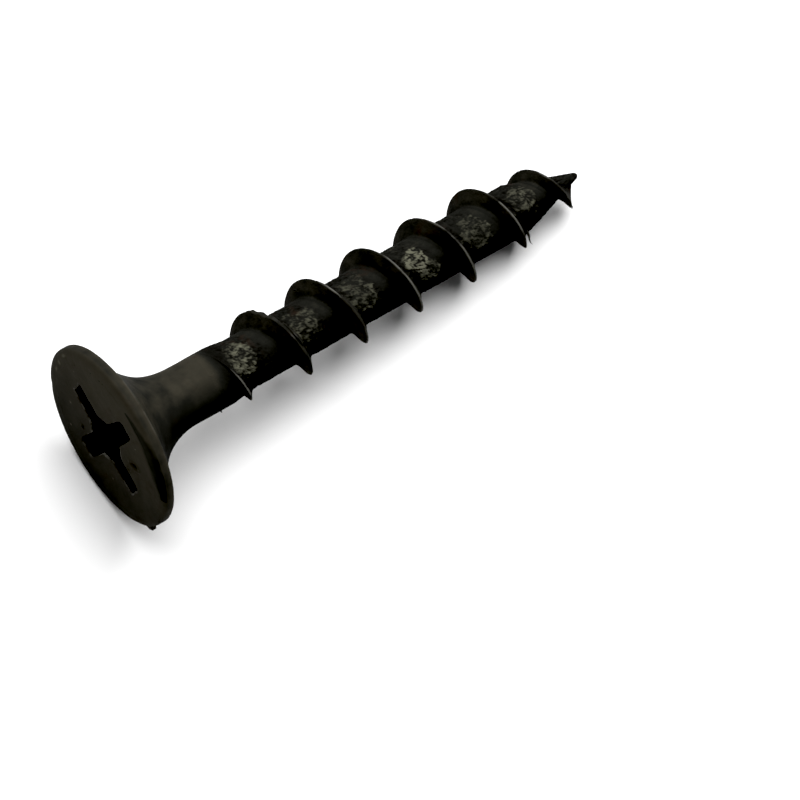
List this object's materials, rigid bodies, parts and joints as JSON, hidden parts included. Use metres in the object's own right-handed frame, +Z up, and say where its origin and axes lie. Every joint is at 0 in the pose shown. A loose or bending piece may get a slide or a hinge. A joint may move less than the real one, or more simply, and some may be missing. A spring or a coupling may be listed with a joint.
{
  "type": "drywall screw",
  "caption": "Black phosphated drywall screw with a bugle head, cross recess, coarse thread and sharp point, lying on its side.",
  "frame": {"origin": "centre of the base of the bounding box, on the floor that the screw lies on", "axes": "+X along the floor from the head towards the point, +Z up; the screw's own axis dips 7 degrees below +X towards the point"},
  "size_m": [0.0248, 0.008, 0.008],
  "materials": {
    "black_phosphate": "matt black phosphate coat on hardened steel"
  },
  "bodies": {
    "root": {"screw": "black_phosphate"}
  },
  "joints": []
}
